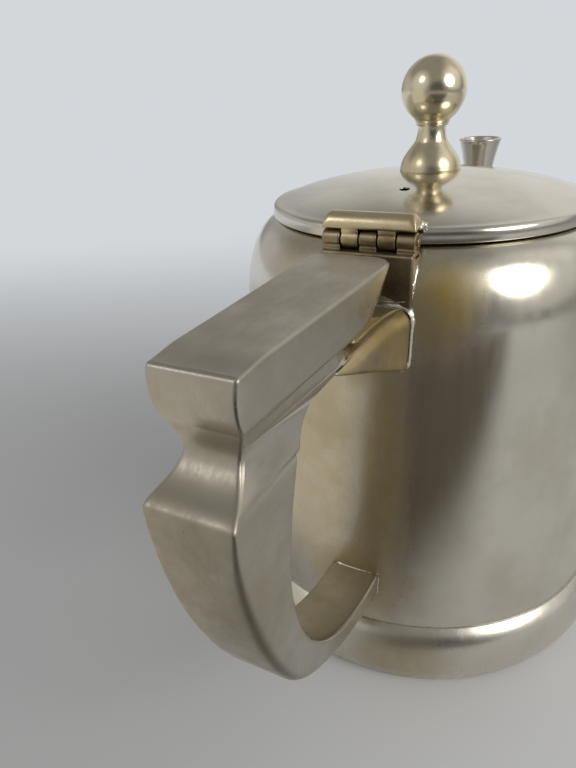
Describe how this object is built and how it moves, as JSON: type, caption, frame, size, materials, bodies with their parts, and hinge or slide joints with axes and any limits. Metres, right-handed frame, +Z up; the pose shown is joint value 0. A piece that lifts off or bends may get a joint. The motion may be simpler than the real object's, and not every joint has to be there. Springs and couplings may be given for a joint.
{
  "type": "teapot",
  "caption": "Silver-plated teapot with a tapering round body, angular hollow handle, flared spout and a hinged domed lid with a ball finial.",
  "frame": {"origin": "centre of the foot's resting face, on the pot's axis", "axes": "+Z up along the pot's axis, +X from the handle towards the spout, the XZ plane is the plane of symmetry"},
  "size_m": [0.1688, 0.1058, 0.1405],
  "materials": {
    "satin_silver": "satin silver plate with yellow-brown tarnish near the joints",
    "polished_silver": "polished, slightly yellow silver plate",
    "worn_brass": "brass showing through worn plating",
    "plain_brass": "plain brass"
  },
  "bodies": {
    "pot": {"pot_shell": "satin_silver", "foot_ring": "satin_silver", "bottom_disc": "satin_silver", "mouth_collar": "satin_silver", "spout": "satin_silver", "handle_right_half": "satin_silver", "handle_left_half": "satin_silver", "handle_neck": "satin_silver", "hinge_bracket": "worn_brass", "hinge_pin": "worn_brass"},
    "lid": {"hinge_leaf": "worn_brass", "lid_shell": "satin_silver", "lid_bezel": "satin_silver", "finial_base": "polished_silver", "finial_ball": "polished_silver", "finial_stud": "plain_brass", "finial_washer": "plain_brass", "finial_nut": "plain_brass"}
  },
  "joints": [
    {"name": "lid_hinge", "type": "hinge", "parent": "pot", "child": "lid", "pos_m": [-0.0407, 0, 0.1087], "axis": [0, -1, 0], "range_deg": [0, 95]}
  ]
}
